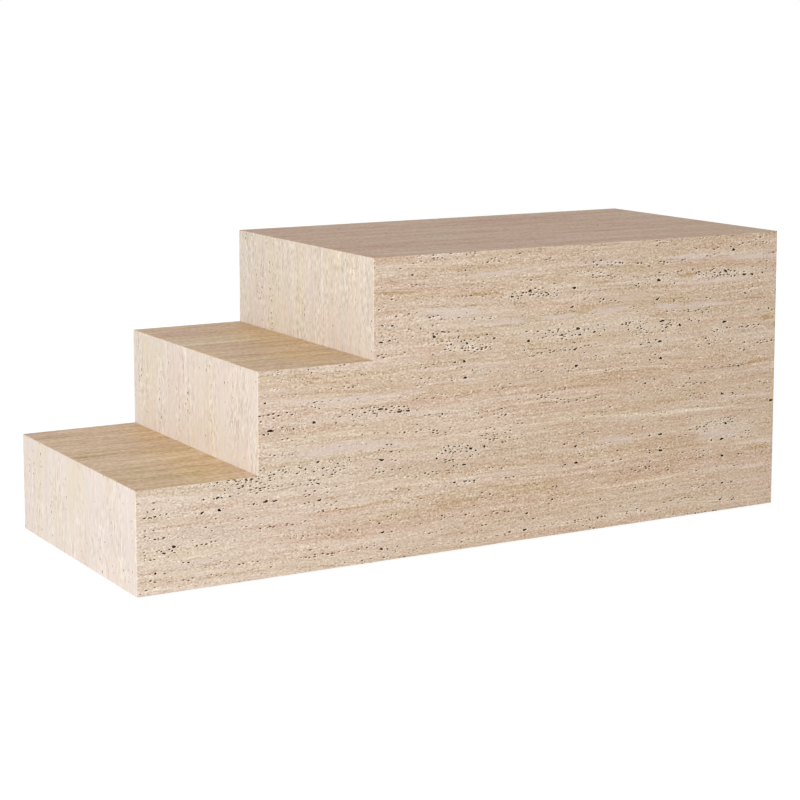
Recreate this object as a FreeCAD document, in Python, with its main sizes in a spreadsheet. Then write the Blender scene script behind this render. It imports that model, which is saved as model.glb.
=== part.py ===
import FreeCAD, Part
import Sketcher
import math
import os
import re

# Stepped display plinth in travertine: mitred slabs bonded to a housed and glued plywood
# carcase that stands on two runners, with four screw feet for levelling. Millimetres, +Z up,
# origin on the floor under the middle. The low step is at -X, and the stepped front face
# looks along -Y.

# Driving sizes: alias, value, meaning
driving_sizes = (
    ("table_length", 1500, "end face to end face"),
    ("table_depth", 600, "front face to rear face"),
    ("riser_height", 200, "height of one step"),
    ("tread_depth", 250, "length of one step's tread"),
    ("edge_height", 3, "lower edge of the stone above the floor"),
    ("slab_thickness", 20, "travertine slab"),
    ("arris", 1, "width taken off each slab's corner before its mitre"),
    ("bed_thickness", 3, "adhesive between stone and plywood"),
    ("bead_width", 12, "adhesive bead"),
    ("bead_margin", 30, "end of a bead to the edge of its board"),
    ("board_thickness", 18, "plywood of the carcase"),
    ("housing_depth", 6, "cross board let into the side boards"),
    ("base_height", 24, "underside of the base board above the floor"),
    ("cleat_size", 25, "square batten under a deck"),
    ("hand_hole_width", 110, "slot in a cross rib"),
    ("hand_hole_height", 45, "slot in a cross rib"),
    ("runner_width", 45, "timber runner under the base board"),
    ("runner_chamfer", 4, "lower edges of a runner"),
    ("strip_thickness", 3, "rubber strip under a runner"),
    ("strip_width", 30, "rubber strip under a runner"),
    ("foot_end_inset", 110, "foot to the inner face of an end board"),
    ("foot_side_inset", 85, "foot to the inner face of a side board"),
    ("foot_lift", 1, "sole above the floor with the foot wound in"),
    ("sole_thickness", 2, "anti-slip sole"),
    ("sole_radius", 20, "anti-slip sole"),
    ("pad_radius", 22, "foot pad"),
    ("pad_height", 9, "foot pad"),
    ("socket_floor", 1.5, "pad under the stem's tip"),
    ("tip_radius", 5.5, "stem's tip, held in the pad"),
    ("tip_height", 3, "stem's tip"),
    ("neck_radius", 4, "stem between tip and hexagon"),
    ("running_clearance", 0.08, "stem in its pad and in its nut"),
    ("hex_across", 17, "hexagon of the stem, across its flats"),
    ("hex_height", 7, "hexagon of the stem"),
    ("stop_gap", 0.3, "hexagon to the nut with the foot wound in"),
    ("thread_radius", 5, "stem's thread"),
    ("thread_length", 42, "stem above its hexagon"),
    ("nut_flange_radius", 13, "tee nut"),
    ("nut_flange_thickness", 1.5, "tee nut"),
    ("nut_barrel_radius", 6.5, "tee nut"),
    ("nut_barrel_length", 14, "tee nut"),
    ("nut_clearance", 0.1, "hole round a tee nut's barrel"),
)
rib_names = ("near_cross_rib", "far_cross_rib")
foot_sides = (("front", -1), ("rear", 1))
foot_ends = (("low_end", -1), ("tall_end", 1))

doc = FreeCAD.newDocument("stepped_display_plinth")
sheet = doc.addObject("Spreadsheet::Sheet", "sizes")
for row, (alias, value, meaning) in enumerate(driving_sizes, start=1):
    sheet.set(f"A{row}", meaning)
    sheet.set(f"B{row}", str(value))
    sheet.setAlias(f"B{row}", alias)
doc.recompute()

alias_words = re.compile(r"\b(" + "|".join(alias for alias, _, _ in driving_sizes) + r")\b")
pieces = []


def formula(text):
    """The sheet's own name for each alias in a formula."""
    return alias_words.sub(r"sizes.\1", text)


def size_of(text):
    """The value of a formula now, for a sketch's first guess."""
    return float(sheet.evalExpression(formula(text)))


def bind(thing, formulas):
    """Tie properties of an object to formulas on the sheet."""
    for path, text in formulas.items():
        thing.setExpression(path, formula(text))


def keep(thing, label):
    """Name a finished piece and put it on the list to be written."""
    thing.Label = label
    pieces.append(thing)
    return thing


# Faces of the stone and of the carcase behind it, as formulas
end_x = "(table_length / 2)"
side_y = "(table_depth / 2)"
skin = "(slab_thickness + bed_thickness)"
tier_x = ["(-table_length / 2)", "(tread_depth - table_length / 2)", "(2 * tread_depth - table_length / 2)"]
tier_z = [f"(edge_height + {tier} * riser_height)" for tier in (1, 2, 3)]
board_x = [f"({x} + {skin})" for x in tier_x]
board_z = [f"({z} - {skin})" for z in tier_z]
board_end_x = f"({end_x} - {skin})"
board_side_y = f"({side_y} - {skin})"
inner_y = f"({board_side_y} - board_thickness)"
housed_y = f"({inner_y} + housing_depth)"
board_foot = "(edge_height + bed_thickness)"
base_top = "(base_height + board_thickness)"
bay_low_x = f"({board_x[0]} + board_thickness)"
bay_high_x = f"({board_end_x} - board_thickness)"


def origin_plane(body, role):
    return next(plane for plane in body.Origin.OriginFeatures if plane.Role == role)


def sketch_on(body, name, role):
    """An empty sketch on one of the body's own origin planes."""
    sketch = body.newObject("Sketcher::SketchObject", name)
    sketch.AttachmentSupport = [(origin_plane(body, role), "")]
    sketch.MapMode = "FlatFace"
    return sketch


def place_point(sketch, edge, end, across, up):
    """Hold one end of an edge at a distance across and up from the origin."""
    for kind, text, axis in (("DistanceX", across, -2), ("DistanceY", up, -1)):
        if text == "0":
            sketch.addConstraint(Sketcher.Constraint("PointOnObject", edge, end, axis))
        else:
            held = sketch.addConstraint(Sketcher.Constraint(kind, -1, 1, edge, end, size_of(text)))
            sketch.setExpression(f"Constraints[{held}]", formula(text))


def draw_outline(sketch, corners):
    """A closed outline of straight lines through corners given as formulas."""
    spots = [FreeCAD.Vector(size_of(across), size_of(up), 0) for across, up in corners]
    first = sketch.GeometryCount
    count = len(corners)
    for edge in range(count):
        sketch.addGeometry(Part.LineSegment(spots[edge], spots[(edge + 1) % count]), False)
    for edge in range(count):
        follower = first + (edge + 1) % count
        sketch.addConstraint(Sketcher.Constraint("Coincident", first + edge, 2, follower, 1))
    for edge, (across, up) in enumerate(corners):
        place_point(sketch, first + edge, 1, across, up)


def pad_outline(body, name, role, corners, length):
    """Pad a straight-sided outline from an origin plane."""
    sketch = sketch_on(body, f"{name}_outline", role)
    draw_outline(sketch, corners)
    pad = body.newObject("PartDesign::Pad", name)
    pad.Profile = sketch
    bind(pad, {"Length": length})
    return pad


def turn_profile(body, name, corners):
    """Turn a profile of radius and height about the body's Z axis."""
    sketch = sketch_on(body, f"{name}_profile", "XZ_Plane")
    draw_outline(sketch, corners)
    turned = body.newObject("PartDesign::Revolution", name)
    turned.Profile = sketch
    turned.ReferenceAxis = (sketch, ["V_Axis"])
    turned.Angle = 360
    return turned


def board(label, x, y, z):
    """A plain board or batten between low and high formulas on each axis."""
    box = doc.addObject("Part::Box", label)
    bind(box, {"Length": f"{x[1]} - {x[0]}", "Width": f"{y[1]} - {y[0]}", "Height": f"{z[1]} - {z[0]}"})
    bind(box, {"Placement.Base.x": x[0], "Placement.Base.y": y[0], "Placement.Base.z": z[0]})
    box.Label = label
    return box


def group(label, members):
    """Several separate solids kept as one piece."""
    compound = doc.addObject("Part::Compound", label)
    compound.Links = members
    compound.Label = label
    return compound


def cut(label, base, tool):
    result = doc.addObject("Part::Cut", label)
    result.Base = base
    result.Tool = tool
    result.Label = label
    return result


def copy_at(label, master, x, y, z):
    """A linked copy of a master piece."""
    link = doc.addObject("App::Link", label)
    link.LinkedObject = master
    bind(link, {"Placement.Base.x": x, "Placement.Base.y": y, "Placement.Base.z": z})
    return link


# Travertine slabs. Each has two layers from its show face back, a thin one that eases the
# arris and a thick one for the 45 degree mitre: name, near and far depth, and how far the
# mitred sides are drawn in at each.
slab_layers = (
    ("arris", "0", "arris / 2", "arris", "arris / 2"),
    ("mitre", "arris / 2", "slab_thickness", "arris / 2", "slab_thickness"),
)
turn_from_left = FreeCAD.Rotation(FreeCAD.Vector(0, 0, 1), -90)
turn_from_right = FreeCAD.Rotation(FreeCAD.Vector(0, 0, 1), 90)
turn_from_above = FreeCAD.Rotation(FreeCAD.Vector(1, 0, 0), -90)


def add_wedge(body, name, near, far, near_inset, far_inset, across, up):
    """A wedge from depth near to depth far. Each side of across and up is a formula and
    whether it is mitred, and a mitred side is drawn in by the inset at that depth."""
    wedge = body.newObject("PartDesign::AdditiveWedge", name)
    bind(wedge, {"Ymin": near, "Ymax": far})
    for axis, (low, low_mitred, high, high_mitred) in (("X", across), ("Z", up)):
        for prefix, inset in ((axis, near_inset), (f"{axis}2", far_inset)):
            low_text = f"{low} + {inset}" if low_mitred else low
            high_text = f"{high} - {inset}" if high_mitred else high
            bind(wedge, {f"{prefix}min": low_text, f"{prefix}max": high_text})
    return wedge


def mitred_slab(label, across, up, place, turn):
    """A slab whose show face is the body's own XZ plane, with its back along +Y."""
    body = doc.addObject("PartDesign::Body", label)
    for layer, near, far, near_inset, far_inset in slab_layers:
        add_wedge(body, f"{label}_{layer}", near, far, near_inset, far_inset, across, up)
    body.Placement.Rotation = turn
    bind(body, place)
    return keep(body, label)


def side_slab(label, outward):
    """The stepped slab: three tiers of mitred wedge grown into one piece."""
    body = doc.addObject("PartDesign::Body", label)
    for tier in range(3):
        across = (tier_x[tier], True, end_x, True)
        up = ("edge_height", False, tier_z[tier], True)
        for layer, near, far, near_inset, far_inset in slab_layers:
            if outward < 0:
                span = (f"{near} - {side_y}", f"{far} - {side_y}", near_inset, far_inset)
            else:
                span = (f"{side_y} - {far}", f"{side_y} - {near}", far_inset, near_inset)
            add_wedge(body, f"{label}_{layer}_{tier + 1}", *span, across, up)
    return keep(body, label)


def riser_slab(label, tier):
    """An upright slab. Above the first tier its foot runs down behind the tread's end, where
    its two lower corners are cut away for the compound mitre with the side slabs."""
    across = (f"-{side_y}", True, side_y, True)
    foot = "edge_height" if tier == 0 else f"({tier_z[tier - 1]} - slab_thickness)"
    up = (foot, False, tier_z[tier], True)
    slab = mitred_slab(label, across, up, {"Placement.Base.x": tier_x[tier]}, turn_from_left)
    if tier:
        sketch = sketch_on(slab, f"{label}_foot_corners", "XZ_Plane")
        inner = f"({side_y} - slab_thickness)"
        for sign in ("-", ""):
            corners = ((f"{sign}{side_y}", foot), (f"{sign}{inner}", foot),
                       (f"{sign}{side_y}", tier_z[tier - 1]))
            draw_outline(sketch, corners)
        pocket = slab.newObject("PartDesign::Pocket", f"{label}_foot_mitre")
        pocket.Profile = sketch
        pocket.Type = "ThroughAll"
        pocket.Midplane = True
    return slab


side_slab("front_side_slab", -1)
side_slab("rear_side_slab", 1)
for tier, label in enumerate(("lower_riser_slab", "middle_riser_slab", "upper_riser_slab")):
    riser_slab(label, tier)
slab_depth = (f"-{side_y}", True, side_y, True)
for tier, label in enumerate(("lower_tread_slab", "middle_tread_slab")):
    tread_across = (tier_x[tier], True, tier_x[tier + 1], False)
    mitred_slab(label, tread_across, slab_depth, {"Placement.Base.z": tier_z[tier]}, turn_from_above)
mitred_slab("top_slab", (tier_x[2], True, end_x, True), slab_depth,
            {"Placement.Base.z": tier_z[2]}, turn_from_above)
mitred_slab("end_slab", slab_depth, ("edge_height", False, tier_z[2], True),
            {"Placement.Base.x": end_x}, turn_from_right)

# Plywood carcase: cross boards first, then the side boards with a housing for each of them
across_y = (f"-{housed_y}", housed_y)
plain_boards = {
    "lower_riser_board": ((board_x[0], bay_low_x), (board_foot, f"({board_z[0]} - board_thickness)")),
    "middle_riser_board": ((board_x[1], f"({board_x[1]} + board_thickness)"),
                           (base_top, f"({board_z[1]} - board_thickness)")),
    "upper_riser_board": ((board_x[2], f"({board_x[2]} + board_thickness)"),
                          (base_top, f"({board_z[2]} - board_thickness)")),
    "end_board": ((bay_high_x, board_end_x), (board_foot, f"({board_z[2]} - board_thickness)")),
    "lower_deck": ((board_x[0], board_x[1]), (f"({board_z[0]} - board_thickness)", board_z[0])),
    "middle_deck": ((board_x[1], board_x[2]), (f"({board_z[1]} - board_thickness)", board_z[1])),
    "upper_deck": ((board_x[2], board_end_x), (f"({board_z[2]} - board_thickness)", board_z[2])),
    "base_board": ((bay_low_x, bay_high_x), ("base_height", base_top)),
}
blanks = {label: board(f"{label}_blank", x, across_y, z) for label, (x, z) in plain_boards.items()}


def rib_blank(label, middle):
    """An upright rib with a rounded hand hole through its middle."""
    body = doc.addObject("PartDesign::Body", f"{label}_blank")
    head = f"({board_z[2]} - board_thickness)"
    corners = ((across_y[0], base_top), (across_y[1], base_top), (across_y[1], head), (across_y[0], head))
    pad_outline(body, f"{label}_pad", "YZ_Plane", corners, "board_thickness")
    sketch = sketch_on(body, f"{label}_hand_hole_outline", "YZ_Plane")
    centre = f"({base_top} + {head}) / 2"
    run = "(hand_hole_width - hand_hole_height) / 2"
    radius = size_of("hand_hole_height / 2")
    for sign in (-1, 1):
        spot = FreeCAD.Vector(sign * size_of(run), size_of(centre), 0)
        circle = Part.Circle(spot, FreeCAD.Vector(0, 0, 1), radius)
        start = math.pi / 2 if sign < 0 else -math.pi / 2
        sketch.addGeometry(Part.ArcOfCircle(circle, start, start + math.pi), False)
    low_y = size_of(f"{centre} - hand_hole_height / 2")
    high_y = size_of(f"{centre} + hand_hole_height / 2")
    half = size_of(run)
    for height in (high_y, low_y):
        line = Part.LineSegment(FreeCAD.Vector(-half, height, 0), FreeCAD.Vector(half, height, 0))
        sketch.addGeometry(line, False)
    for arc, arc_end, line, line_end in ((0, 1, 2, 1), (0, 2, 3, 1), (1, 2, 2, 2), (1, 1, 3, 2)):
        sketch.addConstraint(Sketcher.Constraint("Tangent", arc, arc_end, line, line_end))
    sketch.addConstraint(Sketcher.Constraint("Horizontal", 2))
    place_point(sketch, 0, 3, f"-{run}", centre)
    place_point(sketch, 1, 3, run, centre)
    held = sketch.addConstraint(Sketcher.Constraint("Radius", 0, radius))
    sketch.setExpression(f"Constraints[{held}]", formula("hand_hole_height / 2"))
    pocket = body.newObject("PartDesign::Pocket", f"{label}_hand_hole")
    pocket.Profile = sketch
    pocket.Type = "ThroughAll"
    pocket.Midplane = True
    bind(body, {"Placement.Base.x": f"{middle} - board_thickness / 2"})
    return body


rib_span = f"({bay_high_x} - {board_x[2]} - board_thickness)"
for number, label in enumerate(rib_names, start=1):
    share = f"{number} / {len(rib_names) + 1}"
    blanks[label] = rib_blank(label, f"({board_x[2]} + board_thickness / 2 + {rib_span} * {share})")

lattice = doc.addObject("Part::MultiFuse", "cross_board_lattice")
lattice.Shapes = list(blanks.values())


def side_board(label, inner_face_to_front):
    """A stepped side, housed for every cross board."""
    body = doc.addObject("PartDesign::Body", f"{label}_blank")
    corners = ((board_x[0], board_foot), (board_end_x, board_foot), (board_end_x, board_z[2]),
               (board_x[2], board_z[2]), (board_x[2], board_z[1]), (board_x[1], board_z[1]),
               (board_x[1], board_z[0]), (board_x[0], board_z[0]))
    pad_outline(body, f"{label}_pad", "XZ_Plane", corners, "board_thickness")
    bind(body, {"Placement.Base.y": inner_face_to_front})
    return keep(cut(label, body, lattice), label)


side_board("front_side_board", f"-{inner_y}")
side_board("rear_side_board", board_side_y)

# Places of the feet under the base board, and the tee nuts' holes in it
foot_places = {f"{end}_{side}": (f"{end_sign} * ({bay_high_x} - foot_end_inset)",
                                 f"{side_sign} * ({inner_y} - foot_side_inset)")
               for side, side_sign in foot_sides for end, end_sign in foot_ends}
nut_hole = doc.addObject("Part::Cylinder", "tee_nut_hole")
bind(nut_hole, {"Radius": "nut_barrel_radius + nut_clearance", "Height": "base_height + board_thickness"})
nut_holes = group("tee_nut_holes", [copy_at(f"tee_nut_hole_{name}", nut_hole, x, y, "base_height / 2")
                                    for name, (x, y) in foot_places.items()])
for label, blank in blanks.items():
    keep(cut(label, blank, nut_holes) if label == "base_board" else blank, label)

# Battens, runners and floor strips
between_sides = (f"-{inner_y}", inner_y)
for tier, label in enumerate(("lower_deck_cleat", "middle_deck_cleat")):
    deck_foot = f"({board_z[tier]} - board_thickness)"
    cleat_x = (f"({board_x[tier + 1]} - cleat_size)", board_x[tier + 1])
    keep(board(label, cleat_x, between_sides, (f"({deck_foot} - cleat_size)", deck_foot)), label)


def runner(label, sign):
    """A timber runner in the corner under the base board, its lower edges eased."""
    body = doc.addObject("PartDesign::Body", label)
    inner, outer = f"({inner_y} - runner_width)", inner_y
    corners = ((f"{sign} * {outer}", "base_height"), (f"{sign} * {inner}", "base_height"),
               (f"{sign} * {inner}", "strip_thickness + runner_chamfer"),
               (f"{sign} * ({inner} + runner_chamfer)", "strip_thickness"),
               (f"{sign} * ({outer} - runner_chamfer)", "strip_thickness"),
               (f"{sign} * {outer}", "strip_thickness + runner_chamfer"))
    pad_outline(body, f"{label}_pad", "YZ_Plane", corners, f"{bay_high_x} - {bay_low_x}")
    bind(body, {"Placement.Base.x": bay_low_x})
    return keep(body, label)


def floor_strip(label, sign):
    middle = f"({inner_y} - runner_width / 2)"
    half = "strip_width / 2"
    y = (f"({sign} * {middle} - {half})", f"({sign} * {middle} + {half})")
    return keep(board(label, (bay_low_x, bay_high_x), y, ("0", "strip_thickness")), label)


for side, sign in foot_sides:
    runner(f"{side}_runner", sign)
    floor_strip(f"{side}_floor_strip", sign)

# Adhesive beads between stone and plywood. Bead places are shares of the tier that they are in.
step_bead_shares = (0.25, 0.75)
top_bead_shares = (0.08, 0.29, 0.5, 0.71, 0.92)
tier_ends = (board_x[1], board_x[2], board_end_x)
tier_shares = (step_bead_shares, step_bead_shares, top_bead_shares)


def bead_span(low, high, share):
    """The two edges of a bead whose middle is at a share of the way from low to high."""
    middle = f"{low} + ({high} - {low}) * {share}"
    return (f"({middle} - bead_width / 2)", f"({middle} + bead_width / 2)")


def bead_group(label, spans):
    """A group of beads, each a strip between low and high formulas on each axis."""
    members = [board(f"{label}_{number}", *span) for number, span in enumerate(spans, start=1)]
    return keep(group(label, members), label)


bead_x_spans = [(tier, bead_span(board_x[tier], tier_ends[tier], share))
                for tier in range(3) for share in tier_shares[tier]]
bed_inner_y, bed_outer_y = board_side_y, f"({board_side_y} + bed_thickness)"
side_bead_z = [(f"({board_foot} + bead_margin)", f"({z} - bead_margin)") for z in board_z]
bead_group("front_adhesive_beads",
           [(x, (f"-{bed_outer_y}", f"-{bed_inner_y}"), side_bead_z[tier]) for tier, x in bead_x_spans])
bead_group("rear_adhesive_beads",
           [(x, (bed_inner_y, bed_outer_y), side_bead_z[tier]) for tier, x in bead_x_spans])
bead_y = (f"(bead_margin - {board_side_y})", f"({board_side_y} - bead_margin)")
bead_group("tread_adhesive_beads",
           [(x, bead_y, (board_z[tier], f"({board_z[tier]} + bed_thickness)")) for tier, x in bead_x_spans])
riser_feet = (board_foot, board_z[0], board_z[1])
riser_bead_shares = (0.15, 0.5, 0.85)
riser_spans = [((f"({board_x[tier]} - bed_thickness)", board_x[tier]), riser_feet[tier], board_z[tier])
               for tier in range(3)]
riser_spans.append(((board_end_x, f"({board_end_x} + bed_thickness)"), board_foot, board_z[2]))
bead_group("riser_adhesive_beads",
           [(x, bead_span(f"-{board_side_y}", board_side_y, share),
             (f"({foot} + bead_margin)", f"({head} - bead_margin)"))
            for x, foot, head in riser_spans for share in riser_bead_shares])

# Levelling feet: the stem turns in the tee nut and carries the pad, whose socket snaps over
# the stem's tip. Heights are from the floor with the foot wound in.
pad_foot = "(foot_lift + sole_thickness)"
tip_foot = f"({pad_foot} + socket_floor)"
tip_head = f"({tip_foot} + tip_height)"
hex_head = "(base_height - nut_flange_thickness - stop_gap)"
hex_foot = f"({hex_head} - hex_height)"
stem_head = f"({hex_head} + thread_length)"


def foot_stem(label, x, y):
    body = doc.addObject("PartDesign::Body", label)
    corners = (("0", tip_foot), ("tip_radius", tip_foot), ("tip_radius", tip_head),
               ("neck_radius", tip_head), ("neck_radius", hex_foot), ("thread_radius", hex_foot),
               ("thread_radius", stem_head), ("0", stem_head))
    turn_profile(body, f"{label}_turning", corners)
    flat, corner = "(hex_across / 2)", "(hex_across / sqrt(3))"
    hexagon = ((flat, f"{corner} / 2"), ("0", corner), (f"-{flat}", f"{corner} / 2"),
               (f"-{flat}", f"-{corner} / 2"), ("0", f"-{corner}"), (flat, f"-{corner} / 2"))
    pad = pad_outline(body, f"{label}_hexagon", "XY_Plane", hexagon, "hex_height")
    bind(pad.Profile[0], {"AttachmentOffset.Base.z": hex_foot})
    bind(body, {"Placement.Base.x": x, "Placement.Base.y": y})
    return keep(body, label)


def foot_pad(label, x, y):
    body = doc.addObject("PartDesign::Body", label)
    mouth = "(neck_radius + running_clearance)"
    socket = "(tip_radius + running_clearance)"
    pad_head = f"({pad_foot} + pad_height)"
    socket_head = f"({tip_head} + running_clearance)"
    corners = (("0", pad_foot), ("pad_radius", pad_foot), ("pad_radius", pad_head), (mouth, pad_head),
               (mouth, socket_head), (socket, socket_head), (socket, tip_foot), ("0", tip_foot))
    turn_profile(body, f"{label}_turning", corners)
    bind(body, {"Placement.Base.x": x, "Placement.Base.y": y})
    return keep(body, label)


def foot_sole(label, x, y):
    disc = doc.addObject("Part::Cylinder", label)
    bind(disc, {"Radius": "sole_radius", "Height": "sole_thickness"})
    bind(disc, {"Placement.Base.x": x, "Placement.Base.y": y, "Placement.Base.z": "foot_lift"})
    return keep(disc, label)


def tee_nut():
    """Flange under the base board and barrel up into it, bored for the stem."""
    body = doc.addObject("PartDesign::Body", "tee_nut")
    bore = "(thread_radius + running_clearance)"
    flange_foot = "(base_height - nut_flange_thickness)"
    barrel_head = "(base_height + nut_barrel_length)"
    corners = ((bore, flange_foot), ("nut_flange_radius", flange_foot), ("nut_flange_radius", "base_height"),
               ("nut_barrel_radius", "base_height"), ("nut_barrel_radius", barrel_head), (bore, barrel_head))
    turn_profile(body, "tee_nut_turning", corners)
    return body


for name, (x, y) in foot_places.items():
    foot_stem(f"{name}_foot_stem", x, y)
    foot_pad(f"{name}_foot_pad", x, y)
    foot_sole(f"{name}_foot_sole", x, y)
nut_master = tee_nut()
keep(group("tee_nuts", [copy_at(f"tee_nut_{name}", nut_master, x, y, "0")
                        for name, (x, y) in foot_places.items()]), "tee_nuts")

doc.recompute()
for thing in doc.Objects:
    if "Invalid" in thing.State or "Error" in thing.State:
        raise RuntimeError(f"{thing.Label} did not build")
for piece in pieces:
    if piece.Shape.isNull() or not piece.Shape.isValid():
        raise RuntimeError(f"{piece.Label} has no valid shape")

os.makedirs("parts", exist_ok=True)
for piece in pieces:
    piece.Shape.exportStep(f"parts/{piece.Label}.step")
    print(piece.Label, len(piece.Shape.Solids), round(piece.Shape.Volume))
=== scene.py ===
from functools import partial
import math
import bmesh
import bpy
import numpy as np
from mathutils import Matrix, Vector


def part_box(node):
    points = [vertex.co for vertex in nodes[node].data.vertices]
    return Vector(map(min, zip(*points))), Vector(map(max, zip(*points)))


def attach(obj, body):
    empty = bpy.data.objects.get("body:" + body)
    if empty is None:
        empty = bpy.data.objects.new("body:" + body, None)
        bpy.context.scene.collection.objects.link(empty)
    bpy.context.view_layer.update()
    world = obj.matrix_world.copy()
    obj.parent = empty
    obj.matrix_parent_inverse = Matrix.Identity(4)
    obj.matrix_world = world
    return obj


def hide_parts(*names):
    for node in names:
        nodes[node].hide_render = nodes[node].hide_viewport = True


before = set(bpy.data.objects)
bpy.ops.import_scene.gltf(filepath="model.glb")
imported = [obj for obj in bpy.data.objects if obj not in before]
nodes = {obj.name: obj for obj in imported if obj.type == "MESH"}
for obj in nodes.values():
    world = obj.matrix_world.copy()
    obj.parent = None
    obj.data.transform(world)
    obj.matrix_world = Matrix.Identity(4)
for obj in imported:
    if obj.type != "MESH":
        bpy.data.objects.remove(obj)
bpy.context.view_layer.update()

# Stepped display plinth in travertine. Metres, +Z up, the low step at -X, the long front at -Y.
# The stone slabs are the CAD slabs with their pits carved in. Sizes in the dictionaries are mm.
mm = 0.001
print("frame loaded:", len(nodes), "nodes")


def linear(hexColour):  # sRGB hex to linear RGBA
    srgb = np.array([int(hexColour[i:i + 2], 16) for i in (1, 3, 5)]) / 255
    rgb = np.where(srgb <= 0.04045, srgb / 12.92, ((srgb + 0.055) / 1.055) ** 2.4)
    return (*rgb.tolist(), 1.0)


def newObject(name, data):
    made = bpy.data.objects.new(name, data)
    bpy.context.collection.objects.link(made)
    return made


def plug(node, inputs):  # an input takes a value, a socket, or a node for its first output in use
    for key, value in inputs.items():
        if isinstance(value, bpy.types.Node):
            value = next(socket for socket in value.outputs if socket.enabled)
        if isinstance(value, bpy.types.NodeSocket):
            node.id_data.links.new(value, node.inputs[key])
        else:
            node.inputs[key].default_value = value


def addNode(tree, kind, inputs=None, operation=None, **settings):
    made = tree.nodes.new("ShaderNode" + kind)
    if operation:
        made.operation = operation
    for name, value in settings.items():
        setattr(made, name, value)
    plug(made, inputs or {})
    return made


def newMaterial(name, colour, **surface):  # a material, its shader, and what adds nodes to it
    material = bpy.data.materials.new(name)
    material.use_nodes = True
    material.node_tree.nodes.clear()
    add = partial(addNode, material.node_tree)
    shader = add("BsdfPrincipled", {"Base Color": linear(colour), **surface})
    add("OutputMaterial", {"Surface": shader})
    return material, shader, add


# Camera at the photograph's place. Distances in metres from the frame's origin, angles in degrees,
# lens and sensor in mm.
camera = {
    "place": (-2.1824, -3.7617, 1.0721),
    "yaw": 29.905,       # from +Y towards +X
    "pitch": -7.356,
    "lens": 93.41,
    "sensor": 36,
    "shift": -0.15,      # the photograph's verticals are nearly upright
}
cameraData = bpy.data.cameras.new("photoCamera")
cameraData.lens = camera["lens"]
cameraData.sensor_width = camera["sensor"]
cameraData.shift_y = camera["shift"]
cameraObject = newObject("photoCamera", cameraData)
cameraObject.location = camera["place"]
cameraObject.rotation_euler = (math.radians(90 + camera["pitch"]), 0, -math.radians(camera["yaw"]))
bpy.context.scene.camera = cameraObject

# Soft studio light: a big lamp low on the left throws most on the risers, a weaker one stands in
# front, and the room gives the rest.
lamps = {
    "leftLamp": {"at": (-4.8, -2.4, 1.3), "aim": (-0.2, 0, 0.25), "size": 2.6, "watts": 135, "glossy": True},
    "frontLamp": {"at": (-1.6, -4.6, 1.8), "aim": (-0.3, 0, 0.3), "size": 3.0, "watts": 46, "glossy": True},
    "backLamp": {"at": (4.0, 4.4, 1.0), "aim": (0.3, 0, 0.3), "size": 3.0, "watts": 70, "glossy": False},
}
for lampName, lamp in lamps.items():
    lampData = bpy.data.lights.new(lampName, "AREA")
    lampData.shape = "DISK"
    lampData.size = lamp["size"]
    lampData.energy = lamp["watts"]
    lampObject = newObject(lampName, lampData)
    lampObject.visible_glossy = lamp["glossy"]
    lampObject.location = lamp["at"]
    towards = Vector(lamp["aim"]) - Vector(lamp["at"])
    lampObject.rotation_euler = towards.to_track_quat("-Z", "Y").to_euler()


def seenDirectly(add):  # 1 for what the camera sees, also in mirrors and through glass
    rays = add("LightPath")
    seen = rays.outputs["Is Camera Ray"]
    for kind in ("Is Glossy Ray", "Is Transmission Ray"):
        seen = add("Math", {0: seen, 1: rays.outputs[kind]}, "MAXIMUM")
    return seen


# A white room with a floor that lights the plinth as pale vinyl would, and looks white with a
# faint shadow. The floor reaches so many metres, and lies a little lower than the strips.
room = {"white": (1, 1, 1, 1), "ambient": 0.53, "floorTone": "#e9e6e2", "floorShare": 0.25, "floorGlow": 0.87,
        "floorReach": 40, "floorDrop": 0.2}
world = bpy.data.worlds.new("room")
world.use_nodes = True
world.node_tree.nodes.clear()
bpy.context.scene.world = world
add = partial(addNode, world.node_tree)
strength = add("MapRange", {"Value": seenDirectly(add), "To Min": room["ambient"], "To Max": 1.0})
add("OutputWorld", {"Surface": add("Background", {"Color": room["white"], "Strength": strength})})

floorMaterial, shader, add = newMaterial("paleVinylFloor", room["floorTone"], Roughness=0.9)
shadowed = add("BsdfDiffuse", {"Color": (*[room["floorShare"]] * 3, 1)})
glow = add("Emission", {"Color": room["white"], "Strength": room["floorGlow"]})
floorMix = add("MixShader", {0: seenDirectly(add), 1: shader, 2: add("AddShader", {0: shadowed, 1: glow})})
plug(floorMaterial.node_tree.nodes["Material Output"], {"Surface": floorMix})
floorSpan = np.linspace(-room["floorReach"], room["floorReach"], 3)
floorX, floorY = np.meshgrid(floorSpan, floorSpan)
floorPoints = np.stack([floorX, floorY, 0 * floorX - room["floorDrop"] * mm], 2).reshape(-1, 3)
floorMesh = bpy.data.meshes.new("floor")
floorMesh.from_pydata(floorPoints.tolist(), [], [(0, 1, 4, 3), (1, 2, 5, 4), (3, 4, 7, 6), (4, 5, 8, 7)])
floorMesh.materials.append(floorMaterial)
floorObject = newObject("floor", floorMesh)
bpy.context.scene.view_settings.view_transform = "Standard"
print("camera, lamps and floor placed")

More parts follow.
